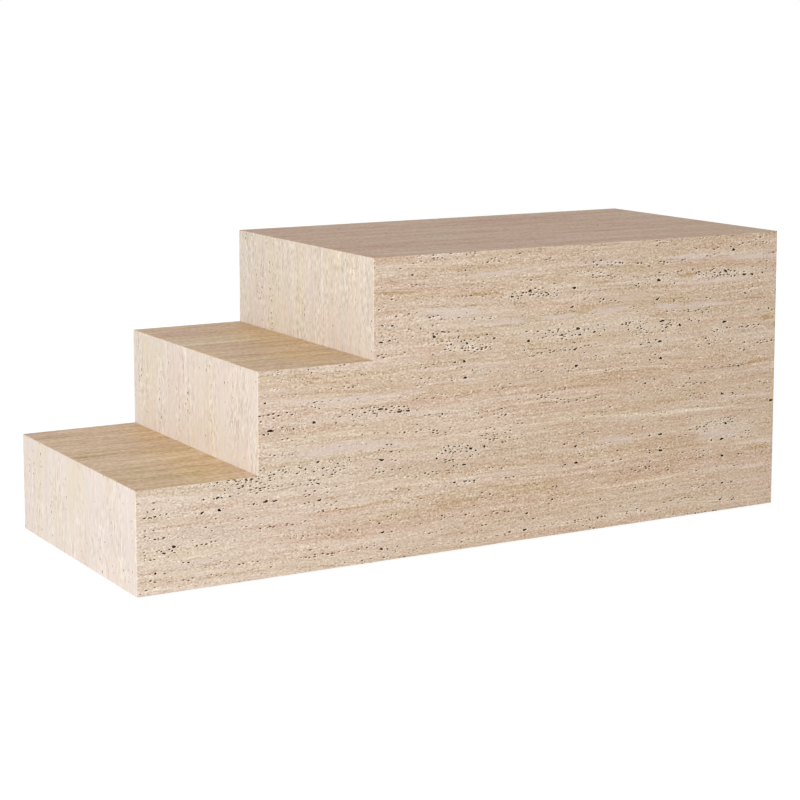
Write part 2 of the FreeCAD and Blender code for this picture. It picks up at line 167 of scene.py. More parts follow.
# Travertine is a bedded limestone. Sawn and honed with its pores left open it has a dull eggshell
# sheen, beige and cream beds with lilac and ochre lenses in them, brown seams, and rows of pits.
# axes gives the stone's own directions: along the bedding, across it, and through the slab.
# Every noise has its size along, across and through in mm, and its detail. waves bend the beds by
# so many mm. tints lay a colour where their noise runs from low to high, up to a share of the way.
# shades make the stone lighter and darker, and the finest of them are coarser than real grains,
# which would not show.
sideStone = {
    "axes": "XZY",
    "base": "#d4bea8",
    "waves": [((420, 120, 300), 9), ((90, 34, 120), 2.4)],
    "noises": {
        "tinge": ((800, 60, 300), 2),
        "blush": ((380, 24, 300), 3),
        "beds": ((900, 30, 300), 2),
        "threads": ((300, 5.4, 200), 2),
        "streaks": ((80, 5.4, 60), 2),
        "dashes": ((26, 4.4, 20), 1),
        "flecks": ((9, 3.8, 9), 0),
        "grain": ((4.8, 3, 4.4), 0),
        "ticks": ((14, 3.8, 12), 1),
        "clouds": ((120, 10, 90), 3),
        "seams": ((120, 2.8, 90), 2),
        "poreRows": ((130, 12, 90), 2),
        "bands": ((320, 11, 200), 2),
    },
    "tints": [
        ("tinge", 0.47, 0.33, "#c9a98c", 0.45),
        ("tinge", 0.53, 0.67, "#d9c8b4", 0.45),
        ("blush", 0.52, 0.66, "#d5b4a2", 0.30),
        ("blush", 0.46, 0.34, "#cdb896", 0.40),
        ("bands", 0.54, 0.68, "#e3d2c2", 0.50),
        ("bands", 0.46, 0.32, "#c6a68a", 0.34),
        ("clouds", 0.60, 0.72, "#dccdc0", 0.50),
        ("clouds", 0.38, 0.28, "#c3a67c", 0.40),
        ("seams", 0.64, 0.76, "#a3845c", 0.50),
        ("ticks", 0.64, 0.78, "#9a7650", 0.45),
        ("ticks", 0.37, 0.24, "#f0e1cc", 0.58),
    ],
    "shades": {"beds": 0.10, "threads": 0.25, "streaks": 0.13, "dashes": 0.17, "flecks": 0.17,
               "grain": 0.56},
    "drift": ("#dccbbc", "#d3bba3", "X", -0.8, 0.2),
    "calm": ("clouds", 0.40, 0.60, 1.25, 0.75),
    "pores": {"cell": (9.5, 5.2), "from": 0.78, "to": 1.28, "pull": 2.8, "largest": 0.34,
              "tone": "#674425", "rim": "#fbeedc"},
}
# Lenses of the front that stand out: middle from the low end and the stone's foot, half length,
# half height, and tilt in degrees where there is one. The nests of pits lie in the light ones.
sideLenses = {
    "nest": ("#dbc8b2", 0.60, [
        (970, 418, 85, 20), (1155, 416, 80, 18), (715, 414, 70, 15), (530, 301, 80, 14),
        (365, 204, 130, 16), (690, 203, 80, 14), (1335, 192, 70, 17), (880, 505, 90, 12),
        (1370, 518, 110, 11), (200, 196, 80, 11)]),
    "light": ("#dbc9b5", 0.60, [
        (690, 468, 150, 40), (900, 436, 170, 26), (1060, 436, 120, 22), (1180, 515, 90, 16),
        (420, 330, 210, 16), (420, 236, 200, 20), (1370, 176, 110, 30), (130, 60, 160, 26)]),
    "pale": ("#ddcbc1", 0.72, [
        (775, 551, 92, 8), (1050, 555, 80, 7), (1265, 556, 85, 9, 1), (1425, 547, 90, 8, -3),
        (672, 478, 85, 14), (805, 456, 60, 7), (935, 457, 60, 7), (1060, 455, 70, 8),
        (1205, 458, 50, 8, 2), (1318, 455, 70, 8, -4), (430, 332, 190, 8, 1), (435, 234, 165, 10),
        (130, 50, 80, 7), (1350, 168, 70, 9), (1078, 182, 60, 8), (885, 505, 60, 3), (1000, 507, 110, 3),
        (1330, 503, 120, 4, -1)]),
    "cream": ("#e4d3bb", 0.58, [
        (1000, 234, 190, 4, -0.6), (1320, 229, 170, 4, -0.4), (690, 236, 110, 3.4), (900, 281, 210, 3),
        (1250, 190, 160, 3, 1), (1200, 24, 260, 3.4), (300, 22, 240, 3.4), (760, 538, 90, 3),
        (90, 30, 80, 3), (600, 140, 200, 3), (1180, 90, 220, 3), (1100, 330, 200, 3), (420, 262, 140, 3)]),
    "ochre": ("#bfa179", 0.85, [
        (1255, 519, 30, 5), (1030, 519, 44, 4), (752, 513, 50, 4), (1430, 323, 80, 5, 1),
        (1462, 127, 50, 5, 1), (1475, 412, 20, 8), (545, 525, 70, 3), (525, 116, 50, 4),
        (815, 414, 30, 4), (860, 114, 90, 3, 1), (1180, 323, 95, 3), (430, 113, 90, 3, 1)]),
    "seam": ("#a28a68", 0.60, [
        (1360, 321, 130, 1.8, 1), (1070, 323, 60, 1.8, -1), (870, 331, 40, 1.8, -2), (790, 276, 26, 2),
        (905, 276, 26, 2), (1265, 274, 30, 2, 1), (880, 393, 40, 2, -3), (1030, 280, 30, 1.8, 1),
        (800, 188, 60, 1.8, -1), (310, 172, 70, 1.6, 4), (545, 527, 60, 1.8, -1)]),
}
# The risers' base and drift are paler than the sides', partly as painted light: they face the big left lamp
riserStone = {
    "axes": "ZYX",
    "base": "#e1d3c7",
    "waves": [((260, 120, 90), 7), ((90, 40, 60), 2)],
    "noises": {
        "tinge": ((260, 70, 90), 2),
        "blush": ((420, 26, 90), 3),
        "veins": ((240, 15, 60), 2),
        "dashes": ((34, 5, 15), 1),
        "grain": ((12, 3.4, 8), 0),
        "ticks": ((20, 4, 12), 1),
        "clouds": ((240, 16, 60), 2),
        "patches": ((130, 60, 60), 2),
        "seams": ((120, 2.8, 90), 2),
        "poreRows": ((150, 20, 60), 2),
    },
    "tints": [
        ("tinge", 0.48, 0.33, "#dfd1b6", 0.60),
        ("tinge", 0.52, 0.67, "#e3d2cb", 0.45),
        ("blush", 0.52, 0.66, "#e3cfc1", 0.35),
        ("blush", 0.46, 0.34, "#dccdaf", 0.35),
        ("clouds", 0.60, 0.70, "#e6dcd8", 0.55),
        ("seams", 0.60, 0.74, "#cdb78f", 0.50),
        ("ticks", 0.66, 0.80, "#c2aa8e", 0.50),
        ("ticks", 0.34, 0.22, "#f3e9dc", 0.60),
    ],
    "shades": {"veins": 0.16, "dashes": 0.24, "grain": 0.34},
    "drift": ("#e2d6cc", "#dacebf", "X", -0.60, -0.25),
    "calm": ("patches", 0.42, 0.60, 0.35, 1.45),
    "pores": {"cell": (12, 6), "from": 0.92, "to": 1.4, "pull": 2.8, "largest": 0.31, "tone": "#937a62",
              "rim": "#f5ebe0"},
}
upperRiserStone = dict(riserStone, calm=("patches", 0.40, 0.58, 0.7, 1.45),
                       shades={"veins": 0.18, "dashes": 0.26, "grain": 0.42},
                       pores=dict(riserStone["pores"], tone="#7d6247"))
# The treads' tones are darker and tanner than the sides', partly as painted shade: they face up, away from
# the low lamps
treadStone = {
    "axes": "XYZ",
    "base": "#d1b291",
    "drift": ("#d5b694", "#ceae8d", "X", -0.65, -0.35),
    "waves": [((420, 160, 90), 8), ((120, 50, 60), 2)],
    "noises": {
        "tinge": ((240, 110, 90), 2),
        "blush": ((420, 46, 90), 3),
        "beds": ((500, 30, 60), 2),
        "threads": ((260, 10, 60), 2),
        "streaks": ((90, 16, 60), 2),
        "dashes": ((34, 9, 30), 1),
        "grain": ((9, 6, 8), 0),
        "seams": ((120, 3.6, 90), 2),
        "poreRows": ((150, 22, 60), 2),
    },
    "tints": [
        ("tinge", 0.46, 0.34, "#cbb083", 0.55),
        ("tinge", 0.54, 0.66, "#d0b09c", 0.75),
        ("blush", 0.54, 0.68, "#cba588", 0.50),
        ("blush", 0.46, 0.34, "#c2a070", 0.50),
        ("seams", 0.62, 0.74, "#a3835e", 0.50),
    ],
    "shades": {"beds": 0.40, "threads": 0.32, "dashes": 0.30, "grain": 0.38},
    "pores": {"cell": (12, 9), "from": 0.90, "to": 1.42, "pull": 1.9, "largest": 0.30, "tone": "#836849",
              "rim": "#dcc6a8"},
}
# Painted light: the warm light that the risers bounce onto the treads, laid as ochre patches at the foot of
# each riser
riserBounceOnTreads = {  # ochre at the foot of the risers
    "ochre": ("#d9b983", 0.52, [
        (205, -80, 85, 190), (175, -230, 80, 110), (225, 170, 50, 130), (455, 60, 80, 240),
        (410, -160, 80, 160)]),
}
# The top's tones are darker again, partly as painted shade on the face that gets the least light
topStone = dict(treadStone, base="#bf9d80", drift=("#c09e82", "#be9c7f", "X", -0.25, 0.75), tints=[
    ("tinge", 0.46, 0.34, "#b99d77", 0.70),
    ("tinge", 0.54, 0.66, "#c19c88", 0.75),
    ("blush", 0.54, 0.68, "#bc957b", 0.50),
    ("seams", 0.62, 0.74, "#a08266", 0.45),
], shades={"beds": 0.30, "threads": 0.26, "dashes": 0.24, "grain": 0.34})

# What the travertines share. Lenses are placed from the low end and the stone's foot, frayed by two
# noises, calm where they are pale and rich in pores where they are nests. An edge says from where
# to where something is laid, and its share at most: in cells for pores, in depths for pits.
honed = {
    "waveSpan": (0.2, 0.8), "noiseStep": 7.3, "faceFrom": 0.6,
    "lensOrigin": (-750, 3), "lensFray": {"streaks": 1.1, "dashes": 0.5}, "lensEdge": (0.74, 1.42),
    "paleCalm": 0.8, "nestCrowd": 0.75, "shadeTint": (0.77, 0.83, 0.79),
    # The rim shift and edge lay the painted highlight beside each painted pore, in the pores' rim tone
    "highlightShift": (-1.2, 1.5), "highlightEdge": (-0.10, 0.04, 0.90), "poreEdge": (-0.04, 0.08, 1.0),
    # The pit tone and edge paint the carved pits' brown dirt and their shade, darker with depth
    "leastPore": 0.04, "lipEdge": (0.0, 0.05, 0.9), "pitEdge": (0.08, 0.46, 0.97), "pitDirtAndShade": "#3e2410",
    "fullDepth": 3, "rough": (0.42, 0.68), "sheen": (0.5, 0.05), "sheenTo": 0.2, "grainBump": 0.25,
    "bump": 0.8,
}


def faceOn(add, spot, axis):  # 1 where the surface faces along the axis, either way
    facing = add("SeparateXYZ", {0: spot.outputs["Normal"]})
    facing = add("Math", {0: facing.outputs[axis]}, "ABSOLUTE")
    return add("Math", {0: facing, 1: honed["faceFrom"]}, "GREATER_THAN")


def lay(add, tone, colour, value, edge, where=None):  # a tone laid over a colour, and its share
    low, high, most = edge
    share = add("MapRange", {"Value": value, "From Min": low, "From Max": high, "To Max": most},
                interpolation_type="SMOOTHSTEP")
    if where is not None:
        share = add("Math", {0: share, 1: where}, "MULTIPLY")
    return add("Mix", {0: share, 6: colour, 7: linear(tone)}, data_type="RGBA"), share


def beddedNoises(add, stone, split):  # the stone's own place with its beds bent, and its noises
    along, across, through = [split.outputs[axis] for axis in stone["axes"]]
    low, high = honed["waveSpan"]
    for size, lift in stone["waves"]:
        flat = add("CombineXYZ", {0: along, 1: across, 2: through})
        scaled = add("VectorMath", {0: flat, 1: [1000 / s for s in size]}, "MULTIPLY")
        wave = add("TexNoise", {"Vector": scaled, "Scale": 1, "Detail": 1})
        lifted = add("MapRange", {"Value": wave, "From Min": low, "From Max": high,
                                  "To Min": -lift * mm, "To Max": lift * mm}, clamp=False)
        across = add("Math", {0: across, 1: lifted})
    bed = add("CombineXYZ", {0: along, 1: across, 2: through})
    noises = {}
    for noiseName, (size, detail) in stone["noises"].items():
        step = [honed["noiseStep"] * len(noises)] * 3
        scaled = add("VectorMath", {0: bed, 1: [1000 / s for s in size], 2: step}, "MULTIPLY_ADD")
        noises[noiseName] = add("TexNoise", {"Vector": scaled, "Scale": 1, "Detail": detail})
    return bed, noises


def lensReach(add, bed, noises, places):  # how far inside a lens, frayed, and whether at all
    reach = 0.0
    for x, z, halfLength, halfHeight, *tilt in places:
        at = ((x + honed["lensOrigin"][0]) * mm, (z + honed["lensOrigin"][1]) * mm, 0)
        turn = (0, 0, math.radians(tilt[0] if tilt else 0))
        size = (halfLength * mm, halfHeight * mm, 50)  # endless through the slab
        unit = add("Mapping", {"Vector": bed, "Location": at, "Rotation": turn, "Scale": size},
                   vector_type="TEXTURE")
        ball = add("TexGradient", {"Vector": unit}, gradient_type="SPHERICAL")
        reach = add("Math", {0: reach, 1: ball.outputs["Fac"]}, "MAXIMUM")
    some = add("Math", {0: reach, 1: 0.01}, "GREATER_THAN")
    for noiseName, weight in honed["lensFray"].items():
        reach = add("Math", {0: noises[noiseName], 1: weight, 2: reach}, "MULTIPLY_ADD")
    return reach, some


def layPores(add, colour, pores, bed, noises, crowd, onFace):
    # A dark dot in some cells of a flat net, more of them along the pore rows: a pore too small to carve,
    # with its dirt and the shade inside it painted. Under it lies a painted highlight, a pale crescent
    # below it on the right, where the pore's far lip would catch the light. The net goes straight
    # through the slab, so it is kept to the slab's two faces.
    cell = np.array(pores["cell"])
    crowded = add("MapRange", {"Value": noises["poreRows"], "To Min": -pores["pull"] / 2,
                               "To Max": pores["pull"] / 2}, clamp=False)
    crowded = add("Math", {0: crowd, 1: honed["nestCrowd"], 2: crowded}, "MULTIPLY_ADD")
    for shift, edge, tone in ((honed["highlightShift"], honed["highlightEdge"], pores["rim"]),
                              ((0, 0), honed["poreEdge"], pores["tone"])):
        net = {0: bed, 1: [*(1000 / cell), 0], 2: [*(shift / cell), 0]}
        scaled = add("VectorMath", net, "MULTIPLY_ADD")
        cells = add("TexVoronoi", {"Vector": scaled, "Scale": 1}, voronoi_dimensions="2D")
        luck = add("SeparateXYZ", {0: cells.outputs["Color"]})
        chance = add("Math", {0: luck, 1: crowded})
        radius = add("MapRange", {"Value": chance, "From Min": pores["from"], "From Max": pores["to"],
                                  "To Max": pores["largest"]})
        some = add("Math", {0: radius, 1: honed["leastPore"]}, "GREATER_THAN")
        some = add("Math", {0: some, 1: onFace}, "MULTIPLY")
        inside = add("Math", {0: radius, 1: cells.outputs["Distance"]}, "SUBTRACT")
        colour, pore = lay(add, tone, colour, inside, edge, some)
    return colour, pore


def travertine(name, stone, lenses=None):
    material, shader, add = newMaterial(name, stone["base"], Roughness=0.55, IOR=1.5)
    spot = add("TexCoord")
    split = add("SeparateXYZ", {0: spot.outputs["Object"]})
    bed, noises = beddedNoises(add, stone, split)
    # Paler towards the low end, nearer the left lamp: partly painted light
    paler, darker, axis, start, end = stone["drift"]
    drift = add("MapRange", {"Value": split.outputs[axis], "From Min": start, "From Max": end})
    colour = add("Mix", {0: drift, 6: linear(paler), 7: linear(darker)}, data_type="RGBA")
    for noiseName, low, high, tone, most in stone["tints"]:
        colour, laid = lay(add, tone, colour, noises[noiseName], (low, high, most))
    lively = 1.0
    crowd = 0.0
    if "calm" in stone:  # the grain is strong in some places and faint in others
        noiseName, low, high, least, most = stone["calm"]
        lively = add("MapRange", {"Value": noises[noiseName], "From Min": low, "From Max": high,
                                  "To Min": least, "To Max": most})
    for lensName, (tone, most, places) in (lenses or {}).items():
        reach, some = lensReach(add, bed, noises, places)
        colour, laid = lay(add, tone, colour, reach, (*honed["lensEdge"], most), some)
        if lensName == "pale":
            even = add("Math", {0: laid, 1: -honed["paleCalm"], 2: 1.0}, "MULTIPLY_ADD")
            lively = add("Math", {0: lively, 1: even}, "MULTIPLY")
        if lensName == "nest":
            crowd = laid
    shade = -0.5 * sum(stone["shades"].values())
    for noiseName, weight in stone["shades"].items():
        shade = add("Math", {0: noises[noiseName], 1: weight, 2: shade}, "MULTIPLY_ADD")
    shade = add("Math", {0: shade, 1: lively}, "MULTIPLY")
    colour = add("VectorMath", {0: shade, 1: honed["shadeTint"], 2: colour}, "MULTIPLY_ADD")
    pores = stone["pores"]
    onFace = faceOn(add, spot, stone["axes"][2])
    colour, pore = layPores(add, colour, pores, bed, noises, crowd, onFace)
    # Carved pits have a pale broken lip, and darken with their depth: brown dirt and painted shade
    depth = add("Attribute", attribute_name="pitDepth").outputs["Fac"]
    colour, laid = lay(add, pores["rim"], colour, depth, honed["lipEdge"])
    colour, laid = lay(add, honed["pitDirtAndShade"], colour, depth, honed["pitEdge"])
    smooth, dull = honed["rough"]
    rough = add("MapRange", {"Value": noises["tinge"], "To Min": smooth, "To Max": dull})
    hollow = add("Math", {0: pore, 1: honed["sheenTo"], 2: depth}, "MULTIPLY_ADD")
    onTop, inside = honed["sheen"]
    sheen = add("MapRange", {"Value": hollow, "From Max": honed["sheenTo"], "To Min": onTop,
                             "To Max": inside})
    height = add("Math", {0: noises["grain"], 1: honed["grainBump"]}, "MULTIPLY")
    height = add("Math", {0: height, 1: pore}, "SUBTRACT")
    bump = add("Bump", {"Height": height, "Strength": 0.5, "Distance": honed["bump"] * mm})
    plug(shader, {"Base Color": colour, "Roughness": rough, "Specular IOR Level": sheen, "Normal": bump})
    return material


sideTravertine = travertine("honedTravertineSides", sideStone, sideLenses)
riserTravertine = travertine("honedTravertineRisers", riserStone)
upperRiserTravertine = travertine("honedTravertineUpperRiser", upperRiserStone)
treadTravertine = travertine("honedTravertineTreads", treadStone, riserBounceOnTreads)
topTravertine = travertine("honedTravertineTop", topStone)
print("travertine mixed")

# Rows and nests of pits of the front, in mm from its low end and foot: middle, half
# length, half height, how many, and the largest one's length. A single pit has its middle and length.
frontRows = [
    (75, 86, 9), (55, 76, 22, 6, 16, 6.5), (38, 147, 26, 2, 18, 6.5), (35, 122, 30, 2, 13, 5.5),
    (133, 143, 14, 2, 13, 7.5), (168, 144, 10, 2, 5, 8), (165, 168, 34, 2, 16, 6.5),
    (185, 195, 62, 5, 50, 5.5), (265, 149, 10), (284, 148, 9), (240, 147, 12, 3, 12, 5.5),
    (210, 181, 34, 6, 20, 5), (276, 284, 14, 2, 5, 14), (262, 278, 10, 4, 7, 5.5), (325, 283, 26, 9, 36, 5),
    (369, 291, 6, 2, 2, 9), (265, 338, 6, 2, 2, 5.5), (366, 255, 9, 6, 7, 5.5), (372, 320, 20, 6, 7, 5),
    (340, 380, 60, 14, 20, 5), (515, 303, 6, 3, 2, 10), (558, 294, 6, 2, 2, 10), (577, 294, 7, 2, 2, 8),
    (480, 300, 34, 9, 34, 5.5), (510, 293, 8, 2, 5, 5.5), (377, 213, 8, 5, 7, 8),
    (388, 200, 12, 7, 16, 6.5), (350, 202, 100, 12, 78, 5.5), (420, 206, 30, 10, 28, 5.5),
    (440, 213, 6, 3, 2, 6.5), (377, 171, 8), (355, 171, 12, 3, 7, 5.5), (380, 138, 8),
    (357, 137, 10, 4, 5, 5.5), (517, 202, 6, 2, 2, 10), (505, 186, 18, 3, 12, 5), (247, 35, 5.5),
    (104, 52, 14, 3, 5, 5), (140, 115, 16, 8, 7, 5), (330, 72, 40, 8, 20, 5), (519, 467, 8),
    (541, 465, 12, 3, 7, 5.5), (516, 434, 8), (535, 436, 22, 9, 20, 5.5), (636, 436, 6, 2, 2, 9),
    (776, 422, 6, 3, 2, 6.5), (712, 417, 55, 9, 59, 6.5), (722, 408, 5, 3, 2, 7.5), (858, 410, 9),
    (848, 392, 26, 5, 13, 5), (706, 381, 8), (684, 381, 12, 3, 5, 5.5), (725, 362, 36, 3, 25, 4),
    (708, 348, 8), (683, 347, 8, 5, 5, 5.5), (861, 512, 6, 3, 2, 10), (818, 503, 30, 8, 28, 6.5),
    (905, 502, 34, 8, 36, 5.5), (969, 511, 10), (964, 472, 10, 5, 5, 8), (979, 426, 6, 3, 2, 11),
    (984, 413, 12, 6, 12, 7.5), (940, 416, 42, 12, 59, 6.5), (973, 384, 9), (948, 384, 12, 3, 7, 5.5),
    (990, 363, 36, 3, 25, 4), (976, 349, 9), (950, 346, 9, 5, 5, 5.5), (655, 280, 26, 8, 16, 5),
    (735, 275, 30, 3, 13, 5), (706, 172, 8), (682, 172, 12, 3, 5, 5.5), (722, 203, 12, 8, 13, 7.5),
    (675, 202, 34, 8, 41, 6.5), (754, 204, 12, 3, 5, 6.5), (709, 138, 8), (684, 138, 10, 4, 5, 5.5),
    (725, 150, 36, 3, 20, 4), (519, 57, 6, 2, 2, 7.5), (540, 56, 12, 3, 5, 5), (516, 24, 6, 2, 2, 8),
    (530, 22, 22, 5, 13, 5), (655, 74, 14, 3, 12, 5), (857, 54, 6, 2, 2, 7.5), (852, 20, 6, 2, 2, 8),
    (976, 181, 8), (978, 146, 9), (993, 207, 6.5), (990, 160, 36, 4, 20, 5), (950, 145, 9, 4, 5, 5.5),
    (1183, 513, 11), (1125, 505, 34, 9, 41, 5.5), (1180, 473, 10, 5, 7, 8), (1193, 426, 6, 3, 2, 11),
    (1205, 412, 12, 6, 12, 7.5), (1240, 414, 7.5), (1130, 416, 34, 12, 41, 5.5),
    (1020, 416, 30, 12, 32, 6.5), (1265, 424, 6, 3, 2, 6.5), (1188, 383, 9), (1160, 383, 10, 3, 7, 5.5),
    (1205, 363, 36, 3, 23, 4), (1191, 347, 9), (1163, 346, 9, 4, 5, 5.5), (1288, 524, 6, 3, 2, 7.5),
    (1360, 521, 6, 3, 2, 11), (1330, 520, 45, 9, 36, 5.5), (1350, 511, 40, 2, 13, 7.5),
    (1411, 511, 6, 2, 2, 10), (1432, 510, 6, 2, 2, 10), (1460, 512, 34, 5, 13, 5.5), (1380, 566, 9),
    (1373, 573, 6, 2, 2, 5.5), (1359, 412, 11), (1340, 396, 16, 8, 12, 5.5), (1420, 396, 20, 4, 12, 6.5),
    (1193, 184, 9), (1165, 184, 10, 3, 5, 6.5), (1194, 149, 9), (1166, 147, 9, 4, 5, 5.5),
    (1215, 162, 34, 3, 18, 4), (1357, 256, 8), (1386, 255, 9, 3, 5, 6.5), (1492, 229, 12),
    (1368, 190, 14, 9, 13, 7.5), (1315, 192, 34, 9, 36, 5.5), (1358, 157, 9), (1330, 157, 12, 3, 7, 5.5),
    (1360, 120, 8), (1332, 118, 8, 4, 5, 5.5), (1362, 60, 6, 2, 2, 8), (1388, 60, 10, 2, 5, 5.5),
    (1357, 24, 8, 3, 5, 8), (1390, 20, 10, 4, 5, 5.5), (1400, 313, 6, 2, 2, 6.5), (1496, 36, 9),
    (1125, 278, 20, 4, 12, 5.5), (1195, 278, 20, 4, 13, 5), (1310, 380, 30, 5, 13, 5.5),
    (1130, 76, 20, 4, 12, 5.5), (1210, 72, 24, 4, 12, 5), (1135, 30, 12, 8, 7, 5.5),
    (1040, 62, 30, 6, 12, 5), (920, 76, 24, 4, 12, 5.5),
]
frontRows = [(*row[:2], 0, 0, 1, row[2]) if len(row) == 3 else row for row in frontRows]
rearRows = [(1500 - x, z + 7 * math.sin(x), *row) for x, z, *row in frontRows[::2]]
# How pits are drawn and cut. Heights and depths are shares of lengths and heights, within the mm
# that follow, space is in lips, and closest is a share of what two pits need. profile goes from a
# pit's bottom up: how far out, how many lips wider, how deep, how many lip depths above the face.
# Slabs are welded within so many mm first, and joined where they are flat to half a degree.
pitCut = {
    "first": 1.15, "others": (0.5, 1.0), "bell": 0.62, "loose": 2.6, "looseMore": 4.0,
    "height": (0.36, 0.72), "heights": (1.7, 5.2), "depth": (0.7, 2.4), "depths": (0.7, 6),
    "space": 2.6, "closest": 0.50, "wobbles": (0.20, 0.17), "tilt": 0.2, "lip": 0.9, "lipDepth": 0.3,
    "bigFrom": 2.0, "columns": (14, 9), "weld": 0.001, "flatTo": 0.5, "sharpFrom": 50,
    "profile": [(0.55, 0, 0.94, 0), (0.93, 0, 0.55, 0), (1, 0, 0, -1), (1, 2, 0, 1)],
}
# along, across and out: directions of a slab's bedding, of its other side and of its show face
sidePits = {"along": (1, 0, 0), "across": (0, 0, 1), "loose": 170, "stone": sideTravertine}
riserPits = {"along": (0, 0, 1), "across": (0, 1, 0), "out": (-1, 0, 0), "stone": riserTravertine}
treadPits = {"along": (1, 0, 0), "across": (0, 1, 0), "out": (0, 0, 1), "loose": 8, "stone": treadTravertine}
slabPits = {
    "front_side_slab": dict(sidePits, out=(0, -1, 0), rows=frontRows, seed=4),
    "rear_side_slab": dict(sidePits, out=(0, 1, 0), rows=rearRows, seed=9),
    "lower_riser_slab": dict(riserPits, loose=9, seed=12),
    "middle_riser_slab": dict(riserPits, loose=16, seed=13),
    "upper_riser_slab": dict(riserPits, loose=26, seed=14, stone=upperRiserTravertine),
    "end_slab": dict(riserPits, out=(1, 0, 0), loose=60, seed=15),
    "lower_tread_slab": dict(treadPits, seed=16),
    "middle_tread_slab": dict(treadPits, seed=17),
    "top_slab": dict(treadPits, loose=22, seed=18, stone=topTravertine),
}


def ringFaces(rows, columns):
    # Triangles and quads of a closed surface of rows of points round an axis, which come after the
    # two points that close it, at the first row and at the last
    here = np.arange(columns)
    there = (here + 1) % columns
    row = 2 + columns * np.arange(rows - 1)[:, None]
    bands = np.stack([row + here, row + there, row + columns + there, row + columns + here], 2).reshape(-1, 4)
    last = 2 + columns * (rows - 1)
    fans = np.concatenate([np.stack([0 * here, 2 + there, 2 + here], 1),
                           np.stack([0 * here + 1, last + here, last + there], 1)])
    return fans, bands


def solidMesh(name, points, triangles, quads):  # puts point and face arrays into a mesh
    mesh = bpy.data.meshes.new(name)
    mesh.vertices.add(len(points))
    mesh.vertices.foreach_set("co", np.asarray(points, np.float32).ravel())
    corners = np.concatenate([np.ravel(triangles), np.ravel(quads)]).astype(np.int32)
    sizes = np.repeat([3, 4], [len(triangles), len(quads)]).astype(np.int32)
    mesh.loops.add(len(corners))
    mesh.loops.foreach_set("vertex_index", corners)
    mesh.polygons.add(len(sizes))
    mesh.polygons.foreach_set("loop_start", np.concatenate([[0], np.cumsum(sizes)[:-1]]).astype(np.int32))
    mesh.update(calc_edges=True)
    return mesh


def pitSpots(pits, low, high):
    # Middles and half sizes in mm: each row scatters its pits evenly along and in a bell across,
    # loose ones lie anywhere on the face, and a pit too close to an earlier one is left out
    rng = np.random.default_rng(pits["seed"])
    rows = np.array(pits.get("rows", np.zeros((0, 6))), float)
    number = rows[:, 4].astype(int)
    spot = np.repeat(rows, number, axis=0)
    first = np.zeros(len(spot), bool)
    first[np.cumsum(number) - number] = True
    loose = pits["loose"]
    u = low[0] / mm + spot[:, 0] + spot[:, 2] * np.where(first, 0, rng.uniform(-1, 1, len(spot)))
    v = low[1] / mm + spot[:, 1] + spot[:, 3] * np.where(first, 0, rng.normal(0, pitCut["bell"], len(spot)))
    length = spot[:, 5] * np.where(first, pitCut["first"], rng.uniform(*pitCut["others"], len(spot)))
    u = np.concatenate([u, rng.uniform(low[0] / mm, high[0] / mm, loose)])
    v = np.concatenate([v, rng.uniform(low[1] / mm, high[1] / mm, loose)])
    length = np.concatenate([length, pitCut["loose"] + pitCut["looseMore"] * rng.random(loose) ** 3])
    tall = np.clip(length * rng.uniform(*pitCut["height"], len(u)), *pitCut["heights"])
    space = pitCut["lip"] * pitCut["space"]
    apart = np.hypot((u[:, None] - u) / (length[:, None] + length + space),
                     (v[:, None] - v) / (tall[:, None] + tall + space))
    keep = ~np.tril(apart < pitCut["closest"], -1).any(axis=1)
    return u[keep], v[keep], length[keep] / 2, tall[keep] / 2, rng


def pitSurfaces(u, v, halfLength, halfTall, columns, rng):
    # Each pit is a closed surface over angle t and a row of the profile: along it goes
    # (half length x cos t x factor + lip x lips), across it (half height x sin t x factor + lip x
    # lips), both x wobble(t) and turned by a small tilt, and inwards depth x share.
    count = len(u)
    t = np.linspace(0, 2 * np.pi, columns, endpoint=False)
    phase = rng.uniform(0, 2 * np.pi, (2, count, 1, 1))
    oval, corners = pitCut["wobbles"]
    wobble = 1 + oval * np.sin(2 * t + phase[0]) + corners * np.sin(3 * t + phase[1])
    factor, lips, share, lift = np.array(pitCut["profile"]).T[:, None, :, None]
    alongIt = (halfLength[:, None, None] * factor + pitCut["lip"] * lips) * np.cos(t) * wobble
    acrossIt = (halfTall[:, None, None] * factor + pitCut["lip"] * lips) * np.sin(t) * wobble
    tilt = rng.normal(0, pitCut["tilt"], (count, 1, 1))
    turnedU = u[:, None, None] + alongIt * np.cos(tilt) - acrossIt * np.sin(tilt)
    turnedV = v[:, None, None] + alongIt * np.sin(tilt) + acrossIt * np.cos(tilt)
    depth = np.clip(halfTall * rng.uniform(*pitCut["depth"], count), *pitCut["depths"])
    outward = lift * pitCut["lipDepth"] - share * depth[:, None, None] + 0 * turnedU
    rows = len(pitCut["profile"])
    rings = np.stack([turnedU, turnedV, outward], -1).reshape(count, columns * rows, 3)
    low = np.stack([u, v, -depth], 1)[:, None]
    high = np.stack([u, v, 0 * u + 2 * pitCut["lipDepth"]], 1)[:, None]
    points = np.concatenate([low, high, rings], axis=1)
    fans, bands = ringFaces(rows, columns)
    first = np.arange(count)[:, None, None] * points.shape[1]
    return points.reshape(-1, 3), (fans + first).reshape(-1, 3), (bands + first).reshape(-1, 4)


def readAll(items, name, kind=np.int32, width=1):
    values = np.zeros(len(items) * width, kind)
    items.foreach_get(name, values)
    return values


